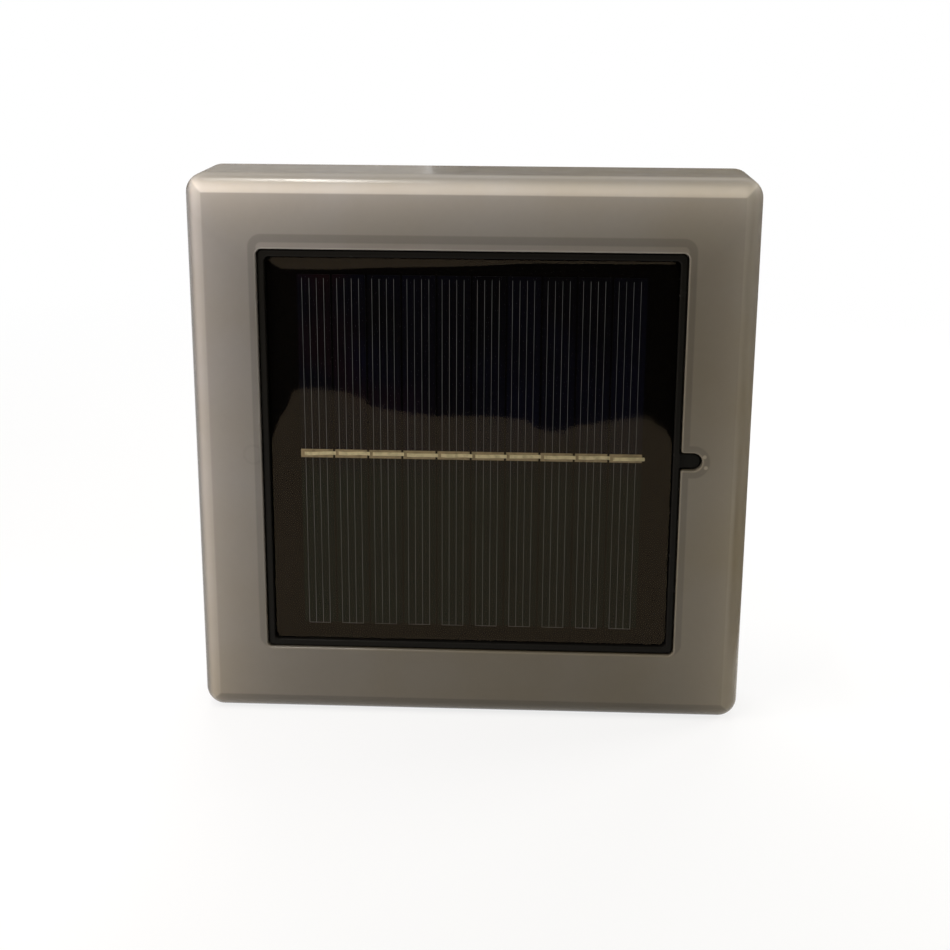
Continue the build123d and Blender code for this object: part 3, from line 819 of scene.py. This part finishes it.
def swept(profile: np.ndarray, path: np.ndarray, across: Point) -> Shape:
    """Carries a closed profile along a path on the panel, and caps both ends.

    Point (i, j) is path[i] + profile[j, 0] * across + profile[j, 1] * outward.

    Args:
        profile: The profile's points, two numbers each.
        path: The path's points.
        across: The profile's first axis.

    Returns:
        The points, and the faces by number of corners.
    """
    points = path[:, None, :] + profile[None, :, :1] * np.array(across)
    points = (points + profile[None, :, 1:] * np.array(OUTWARD)).reshape(-1, 3)
    size = len(path), len(profile)
    return points, [grid_quads(*size, closed=True), end_caps(*size)]


def low_oval(width: float, thickness: float, count: int, power: float = 0.6) -> np.ndarray:
    """A flattened oval on its base line, as a closed profile.

    With t round the circle, x = w/2 * sign(cos t) |cos t|^p and y = h/2 * (1 + sign(sin t)
    |sin t|^p), so a power below 1 squares it up.

    Args:
        width: Its width.
        thickness: Its height above the base line.
        count: How many points it has.
        power: 1 for an ellipse, less for a squarer one.

    Returns:
        The profile's points.
    """
    turn = np.linspace(0, 2 * np.pi, count, endpoint=False)
    across, up = (np.sign(v) * np.abs(v) ** power for v in (np.cos(turn), np.sin(turn)))
    return np.stack([width / 2 * across, thickness / 2 * (1 + up)], axis=1)


# ---- sub-assemblies


@dataclass
class Cover:
    """The milky front cover, kept as it is built."""

    def build(self) -> None:
        """Dresses the cover."""
        dress("diffuser_cover", Looks.COVER)


@dataclass
class SolarPanel:
    """The tray and the panel: ten cell strips with printed silver and ribbons, under resin."""

    count: int = 10
    pitch: float = 7.4
    cell_width: float = 6.95
    fingers: int = 4
    finger_start: float = 1.0
    finger_pitch: float = 1.54
    finger_width: float = 0.09
    finger_top: float = 38.2
    finger_foot: float = -39.2
    print_thickness: float = 0.012
    busbar_height: float = 1.85
    ribbon_start: float = 0.8
    ribbon_over: float = 0.6
    ribbon_width: float = 0.78
    ribbon_thickness: float = 0.16
    ribbon_steps: int = 24
    ribbon_spread: tuple[float, ...] = (0.07, 0.12, 0.04)
    swell: float = 0.25
    swell_turns: Pair = (9.0, 40.0)
    seed: int = 11
    corner_radius: float = 2.0
    sunk: float = 0.02
    edge_reach: float = 5.0
    edge_fall: float = 0.5
    edge_power: float = 2.0
    edge_lean: float = 0.3
    wave: float = 0.03
    wave_level: float = 1.4
    wave_edge: Pair = (3.0, 0.2)
    waves: tuple[tuple[float, ...], ...] = (
        (1.0, 5.1, 9.0, 0.6), (1.0, -13.0, 4.3, 2.1), (0.8, 8.7, -6.1, 4.0))
    steps: int = 120
    cell_top: float = field(init=False)
    cell_lefts: np.ndarray = field(init=False)

    def __post_init__(self) -> None:
        """Reads the cells' upper face and works out their left edges."""
        low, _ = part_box("solar_cells")
        self.cell_top = -low.y / MM
        numbers = np.arange(self.count)
        self.cell_lefts = (numbers - (self.count - 1) / 2) * self.pitch - self.cell_width / 2

    def printed(self, name: str, line: Shape, lefts: np.ndarray, level: float,
                look: Looks = Looks.FINGER) -> None:
        """Copies a printed line to its places on the cells, which start at lefts and level."""
        offsets = np.stack(np.broadcast_arrays(lefts, -self.cell_top, level), 1)
        make_piece(name, repeated(line, offsets), look)

    def finger_strips(self) -> None:
        """Prints the fingers: a low oval carried straight up each of the forty places."""
        path = np.array([[0, 0, self.finger_foot], [0, 0, 0], [0, 0, self.finger_top]])
        profile = low_oval(self.finger_width, self.print_thickness, 6)
        places = np.arange(self.fingers) * self.finger_pitch + self.finger_start
        lefts = (self.cell_lefts[:, None] + places[None, :]).ravel()
        self.printed("cell_fingers", swept(profile, path, ACROSS), lefts, 0.0)

    def end_lines(self) -> None:
        """Prints the line that joins the fingers at the lower end of each cell."""
        length = (self.fingers - 1) * self.finger_pitch + self.finger_width
        path = np.array([[0, 0, 0], [length / 2, 0, 0], [length, 0, 0]])
        profile = low_oval(self.finger_width, self.print_thickness, 6)
        lefts = self.cell_lefts + self.finger_start - self.finger_width / 2
        self.printed("cell_end_lines", swept(profile, path, UPWARD), lefts, self.finger_foot)

    def busbars(self) -> None:
        """Prints the busbar pads: a low oval as tall as the pad, carried along each cell."""
        path = np.linspace(0, self.cell_width, 4)[:, None] * np.array(ACROSS)
        profile = low_oval(self.busbar_height, self.print_thickness * 2, 10, 0.35)
        line = swept(profile, path, UPWARD)
        self.printed("cell_busbars", line, self.cell_lefts, 0.0, Looks.PASTE)

    def ribbons(self) -> None:
        """Lays the ribbons: a squared oval along each busbar, a little off level each.

        Along s from 0 to 1 a ribbon lies at z = a + b (s - 1/2) + c sin(2 pi s), with small
        a, b and c of its own, and its depth swells and sinks by a slow sine.
        """
        draw = np.random.default_rng(self.seed)
        lift, tilt, bow = (draw.normal(0, spread, (self.count, 1)) for spread in self.ribbon_spread)
        length = self.cell_width - self.ribbon_start + self.ribbon_over
        share = np.linspace(0, 1, self.ribbon_steps)
        level = lift + tilt * (share - 0.5) + bow * np.sin(2 * np.pi * share)
        along = self.cell_lefts[:, None] + self.ribbon_start + length * share
        turns = self.swell_turns[0] * share + lift * self.swell_turns[1]
        depth = -self.cell_top - self.print_thickness * (1 + self.swell * np.sin(turns))
        profile = low_oval(self.ribbon_width, self.ribbon_thickness, 12, 0.5)
        shapes = [swept(profile, path, UPWARD) for path in np.stack([along, depth, level], 2)]
        size = len(shapes[0][0])
        faces = [np.concatenate([shape[1][kind] + number * size
                                 for number, shape in enumerate(shapes)]) for kind in (0, 1)]
        make_piece("cell_ribbons", (np.concatenate([shape[0] for shape in shapes]), faces),
                   Looks.RIBBON, ["tabbing_ribbons"])

    def resin_height(self, x: np.ndarray, z: np.ndarray, half: Pair) -> np.ndarray:
        """The resin's upper face below its crown, in millimetres.

        With t the distance from the nearest side, it falls by f (1 - t / reach)^power, where f
        grows from foot to top, and three slow waves h sin(x / a + z / b + c) run across it.

        Args:
            x: The points' places across.
            z: The points' places up.
            half: The panel's half width and half height.

        Returns:
            How far the face lies below the crown.
        """
        inward = np.minimum(half[0] - np.abs(x), half[1] - np.abs(z))
        share = np.clip(1 - inward / self.edge_reach, 0, 1)
        fall = self.edge_fall * (1 + self.edge_lean * z / half[1]) * share ** self.edge_power
        waves = sum(h * np.sin(x / a + z / b + c) for h, a, b, c in self.waves)
        calm = np.clip(inward / self.wave_edge[0], self.wave_edge[1], 1)
        return fall + self.wave * (self.wave_level + waves / 2) * calm

    def resin(self) -> None:
        """Pours the resin: an upper face on a grid, drawn in at the corners, and a flat foot.

        A grid point in a corner square of the radius's size, at shares (a, b) of it, moves to
        (a sqrt(1 - b^2/2), b sqrt(1 - a^2/2)), which turns the square's outer sides into the arc.
        """
        low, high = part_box("panel_resin")
        half = ((high.x - low.x) / 2 / MM, (high.z - low.z) / 2 / MM)
        crown, foot = -low.y / MM, -high.y / MM
        radius = self.corner_radius
        ease = np.sin(np.linspace(-1, 1, self.steps) * np.pi / 2)
        x, z = np.meshgrid(ease * half[0], ease * half[1], indexing="ij")
        a = np.clip((np.abs(x) - half[0] + radius) / radius, 0, 1)
        b = np.clip((np.abs(z) - half[1] + radius) / radius, 0, 1)
        corner = (a > 0) & (b > 0)
        round_x = half[0] - radius + radius * a * np.sqrt(1 - b ** 2 / 2)
        round_z = half[1] - radius + radius * b * np.sqrt(1 - a ** 2 / 2)
        x = np.where(corner, np.sign(x) * round_x, x)
        z = np.where(corner, np.sign(z) * round_z, z)
        fall = self.resin_height(x, z, half)
        upper = np.stack([x, fall - crown, z], -1)
        lower = np.stack([x, np.full_like(x, self.sunk - foot), z], -1)
        points = np.concatenate([upper.reshape(-1, 3), lower.reshape(-1, 3)])
        faces = grid_quads(self.steps, self.steps)
        total = self.steps ** 2
        number = np.arange(total).reshape(self.steps, self.steps)
        rim = np.concatenate([number[0, :-1], number[:-1, -1], number[-1, :0:-1],
                              number[:0:-1, 0]])
        after = np.roll(rim, -1)
        wall = np.stack([rim, after, after + total, rim + total], 1)
        faces = np.concatenate([faces, faces[:, ::-1] + total, wall])
        make_piece("resin_sheet", (points, [faces]), Looks.RESIN, ["panel_resin"],
                   smooth=60.0)

    def build(self) -> None:
        """Dresses the panel's nodes and makes its printed silver, ribbons and resin."""
        for node, look in (("panel_tray", Looks.TRAY), ("panel_adhesive", Looks.FOAM),
                           ("panel_board", Looks.BOARD), ("panel_terminals", Looks.RIBBON),
                           ("solar_cells", Looks.SILICON)):
            dress(node, look)
        self.finger_strips()
        self.end_lines()
        self.busbars()
        self.ribbons()
        self.resin()


@dataclass
class BackPlate:
    """The back plate with its gasket, and four domed screws with cross recesses."""

    head_radius: float = 2.75
    head_height: float = 1.8
    shank_radius: float = 1.2
    shank_length: float = 10.0
    thread_pitch: float = 1.1
    thread_height: float = 0.28
    spacing: float = 103.65
    seat: float = 2.0
    recess_depth: float = 1.05
    recess_half: float = 1.45
    recess_slot: float = 0.42
    recess_edges: Pair = (0.14, 0.5)
    recess_share: float = 0.7
    shoulder_share: float = 0.74
    rim_share: float = 0.45
    dome_power: float = 3.2
    ridge: float = 3.2
    tip: float = 1.6
    tip_share: float = 0.02
    around: int = 64
    shank_steps: int = 90
    shank_around: int = 24

    def screw_heads(self) -> None:
        """Turns the screw heads, each with a cross sunk into it.

        At radius r the head's height is h (k + (1 - k) sqrt(1 - (r / R)^p)), less the cross's
        depth. The cross is where |x| or |y| is under the slot's half width and the other under
        its half length, with sloping sides and ends.
        """
        radii = np.concatenate([np.linspace(0, self.recess_share, 22),
                                np.linspace(self.shoulder_share, 1, 10)])
        turn = np.linspace(0, 2 * np.pi, self.around, endpoint=False)
        r, t = np.meshgrid(radii * self.head_radius, turn, indexing="ij")
        x, y = r * np.cos(t), r * np.sin(t)
        round_off = np.sqrt(np.clip(1 - (r / self.head_radius) ** self.dome_power, 0, 1))
        dome = self.head_height * (self.rim_share + (1 - self.rim_share) * round_off)
        narrow = self.recess_slot - np.minimum(np.abs(x), np.abs(y))
        far = self.recess_half - np.maximum(np.abs(x), np.abs(y))
        side, end = self.recess_edges
        recess = self.recess_depth * np.clip(narrow / side, 0, 1) * np.clip(far / end, 0, 1)
        cap = np.stack([x, dome - recess, y], -1).reshape(-1, 3)
        rings = ring(self.head_radius, turn), ring(self.shank_radius, turn)
        faces = grid_quads(len(radii) + 2, self.around, closed=True)
        self.place_screws("plate_screw_heads", (np.concatenate([cap, *rings]), [faces]), [])

    def screw_shanks(self) -> None:
        """Cuts the threaded shanks.

        At turn t and length s the radius is the core's plus the thread's height times a ridge
        that peaks where s / pitch - t / (2 pi) is whole, and it tapers at the tip.
        """
        along = np.linspace(0, self.shank_length, self.shank_steps)
        turn = np.linspace(0, 2 * np.pi, self.shank_around, endpoint=False)
        s, t = np.meshgrid(along, turn, indexing="ij")
        phase = s / self.thread_pitch - t / (2 * np.pi)
        ridge = np.clip(1 - self.ridge * np.abs(phase - np.round(phase)), 0, 1)
        taper = np.clip((self.shank_length - s) / self.tip, self.tip_share, 1)
        radius = (self.shank_radius - self.thread_height + self.thread_height * ridge) * taper
        points = np.stack([radius * np.cos(t), -s, radius * np.sin(t)], -1).reshape(-1, 3)
        faces = [grid_quads(*s.shape, closed=True), end_caps(*s.shape)]
        self.place_screws("plate_screw_shanks", (points, faces), ["plate_screws"])

    def place_screws(self, name: str, screw: Shape, stands_for: list[str]) -> None:
        """Copies one screw's surface, whose seat is at height 0, to the four corners.

        Args:
            name: The piece's name.
            screw: The surface's points and faces.
            stands_for: The nodes that the piece replaces.
        """
        half = self.spacing / 2
        offsets = np.array([[x * half, -self.seat, z * half] for x in (-1, 1) for z in (-1, 1)])
        make_piece(name, repeated(screw, offsets), Looks.ZINC, stands_for,
                   smooth=30.0)

    def build(self) -> None:
        """Dresses the plate and its gasket and makes the screws."""
        dress("back_plate", Looks.PLATE)
        dress("plate_gasket", Looks.RUBBER)
        self.screw_heads()
        self.screw_shanks()


@dataclass
class Inside:
    """What lies behind the cover: lamps, control board, switch, button and battery."""

    finishes: dict[str, Looks] = field(default_factory=lambda: {
        "led_ring_board": Looks.WHITE_BOARD, "led_packages": Looks.NYLON,
        "led_phosphors": Looks.GEL, "ring_board_screws": Looks.ZINC,
        "control_board": Looks.GREEN_BOARD, "control_board_screws": Looks.ZINC,
        "charge_chip": Looks.EPOXY, "inductor": Looks.FERRITE, "capacitors": Looks.CAN,
        "resistors": Looks.EPOXY, "board_sockets": Looks.NYLON, "push_switch": Looks.EPOXY,
        "switch_plunger": Looks.NYLON, "button_cap": Looks.RUBBER, "button_seal": Looks.RUBBER,
        "battery_cell": Looks.WRAP, "battery_cradle": Looks.EPOXY, "cradle_screws": Looks.ZINC,
        "battery_contacts": Looks.NICKEL,
    })

    def build(self) -> None:
        """Dresses each node."""
        for node, look in self.finishes.items():
            dress(node, look)


# ---- studio


@dataclass
class Camera:
    """The camera, at the photograph's viewing angle."""

    place: Point = (14.831, -336.882, 89.999)
    down: float = 15.2584
    left: float = 2.5142
    roll: float = 0.3296
    focal_pixels: float = 1529.352
    rise_pixels: float = 34.5
    clip: Pair = (0.01, 20.0)

    def build(self) -> None:
        """Makes the camera from its place, the way it looks, and its roll about that way."""
        pitch, yaw, roll = (math.radians(v) for v in (self.down, -self.left, self.roll))
        level = Vector((math.cos(yaw), -math.sin(yaw), 0))
        ahead = Vector((math.sin(yaw), math.cos(yaw), -math.tan(pitch))) * math.cos(pitch)
        upright = level.cross(ahead)
        right = level * math.cos(roll) + upright * math.sin(roll)
        up = upright * math.cos(roll) - level * math.sin(roll)
        data = bpy.data.cameras.new("camera")
        data.sensor_width = SENSOR
        data.lens = self.focal_pixels / IMAGE_PIXELS * SENSOR
        data.shift_y = -self.rise_pixels / IMAGE_PIXELS
        camera = linked("camera", data)
        turned = Matrix((right, up, -ahead)).transposed().to_4x4()
        camera.matrix_world = Matrix.Translation(Vector(self.place) * MM) @ turned
        bpy.context.scene.camera = camera
        data.clip_start, data.clip_end = self.clip


@dataclass
class Lamp:
    """An area lamp that looks at a point of the light."""

    name: str
    place: Point
    target: Point
    size: Pair
    power: float
    colour: Colour = WHITE
    turn: float = 0.0
    mirrored: bool = False

    def build(self) -> None:
        """Makes the lamp, its long side turned about its beam; glossy faces may mirror it."""
        data = bpy.data.lights.new(self.name, "AREA")
        data.shape = "RECTANGLE"
        data.size, data.size_y = (side * MM for side in self.size)
        data.energy, data.color = self.power, self.colour
        lamp = linked(self.name, data)
        beam = Vector(self.target) - Vector(self.place)
        aim = beam.to_track_quat("-Z", "Y").to_matrix().to_4x4()
        spin = Matrix.Rotation(math.radians(self.turn), 4, "Z")
        lamp.matrix_world = Matrix.Translation(Vector(self.place) * MM) @ aim @ spin
        lamp.visible_camera, lamp.visible_glossy = False, self.mirrored


@dataclass
class Card:
    """A folded card that only reflections see, standing on its edge round the light."""

    name: str
    folds: tuple[Point, ...]
    foot: float
    tone: float
    mottle: float = 0.5
    mottle_size: float = 90.0

    def build(self) -> None:
        """Carries a straight line from foot to crest along the fold points.

        A fold is its place on the floor and its crest's height. Heights are above the floor.
        """
        low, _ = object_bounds()
        crest = np.array(self.folds) * MM + [0, 0, low.z]
        base = np.column_stack([crest[:, :2], np.full(len(crest), low.z + self.foot * MM)])
        points = np.concatenate([base, crest])
        graph = Graph(bpy.data.materials.new(self.name))
        cloud = graph.place().noise(self.mottle_size)
        tone = cloud.near_one(self.mottle).light((self.tone,) * 3)
        shader = graph.node("ShaderNodeBsdfDiffuse", None, {"Color": tone})
        faces = [grid_quads(2, len(crest))]
        piece = mesh_object(self.name, points, faces, graph.finish(shader))
        piece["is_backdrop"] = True
        piece.visible_camera = piece.visible_diffuse = piece.visible_shadow = False


@dataclass
class Studio:
    """A pale floor, a white background, soft lamps and cards that dim the reflections."""

    reach: float = 3000.0
    gap: float = 0.1
    cards: tuple[Card, ...] = (
        Card("front_card", (
            (-330, 60, 130), (-220, -140, 130), (-174, -223, 130), (-148, -276, 125),
            (-110, -312, 124), (-87, -335, 124), (-69, -327, 124), (-58, -316, 126),
            (-56, -305, 128), (-40, -300, 138), (-17, -293, 158), (9, -279, 172),
            (14, -265, 173), (25, -267, 174), (30, -276, 176), (54, -288, 178),
            (118, -270, 178), (154, -238, 180), (289, -193, 185), (330, 100, 190),
        ), 0.0, 0.02),
        Card("right_card", ((95, -75, 130), (95, 130, 130)), 0.0, 0.1),
        Card("back_card", ((-32, 300, 390), (260, 300, 390), (340, 190, 390)), 105.0, 0.02),
        Card("grey_card", ((-340, 150, 390), (-260, 270, 390), (-34, 300, 390)), 105.0, 0.30),
    )
    lamps: tuple[Lamp, ...] = (
        Lamp("front", (0, -200, 260), (0, -10, 60), (300, 100), 0.32, (1.0, 0.93, 0.80)),
        Lamp("side", (-150, -90, 20), (-50, -15, 0), (60, 200), 0.255, (1.0, 0.93, 0.92)),
        Lamp("rear", (0, 500, 500), (0, 0, 0), (600, 300), 3.4),
        Lamp("right", (450, 220, 120), (60, 10, 0), (250, 250), 2.0, (1.0, 0.97, 0.92)),
        Lamp("tube", (-180, -165, 1000), (-60, -20, 60), (300, 40), 2.3, (1.0, 0.98, 0.93),
             -47.0, True),
    )
    ambient: Colour = (0.16, 0.15, 0.13)
    floor_colour: Colour = (0.86, 0.86, 0.86)
    floor_mottle: float = 0.04
    floor_size: float = 60.0
    white_share: float = 0.8
    fade_out: Pair = (150.0, 600.0)

    def seen_white(self, graph: Graph) -> Value:
        """1 for what the camera, a reflection or a clear piece sees, else 0."""
        path = graph.node("ShaderNodeLightPath").outputs
        seen = Value(graph, path["Is Camera Ray"]).most(Value(graph, path["Is Glossy Ray"]))
        return seen.most(Value(graph, path["Is Transmission Ray"]))

    def floor(self) -> None:
        """Lays the floor under the light, mostly white to the eye, with the light's shadow."""
        low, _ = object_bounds()
        half, level = self.reach * MM, low.z - self.gap * MM
        corners = np.array([(x * half, y * half, level) for y in (-1, 1) for x in (-1, 1)])
        mesh_object("floor", corners, [grid_quads(2, 2)], self.floor_material())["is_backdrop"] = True

    def floor_material(self) -> bpy.types.Material:
        """A pale surface that lamps light, mixed with plain white where it is seen."""
        graph = Graph(bpy.data.materials.new("floor"))
        place = graph.place()
        tone = place.noise(self.floor_size).near_one(self.floor_mottle).light(self.floor_colour)
        lit = graph.node("ShaderNodeBsdfDiffuse", None, {"Color": tone})
        white = graph.node("ShaderNodeEmission", None, {"Color": opaque(WHITE)})
        far = (place.x * place.x + place.y * place.y).root().ramp(*self.fade_out)
        share = self.seen_white(graph) * (far * (1 - self.white_share) + self.white_share)
        inputs = {0: share, 1: lit.outputs[0], 2: white.outputs[0]}
        return graph.finish(graph.node("ShaderNodeMixShader", None, inputs))

    def surroundings(self) -> None:
        """Lights the scene from all round, and shows white behind the light."""
        world = bpy.data.worlds.new("studio")
        bpy.context.scene.world = world
        graph = Graph(world)
        colour = self.seen_white(graph).mix(self.ambient, WHITE)
        graph.finish(graph.node("ShaderNodeBackground", None, {"Color": colour}))

    def build(self) -> None:
        """Builds the floor, cards, world and lamps."""
        self.floor()
        for card in self.cards:
            card.build()
        self.surroundings()
        for lamp in self.lamps:
            lamp.build()
        bpy.context.scene.view_settings.view_transform = "Standard"


def main() -> None:
    """Builds the light's pieces in order, then the studio and the camera."""
    logging.basicConfig(level=logging.INFO, format="%(name)s: %(message)s")
    for assembly in (Cover(), SolarPanel(), BackPlate(), Inside(), Studio(), Camera()):
        log.info("building %s", type(assembly).__name__)
        assembly.build()


if __name__ == "__main__":
    main()
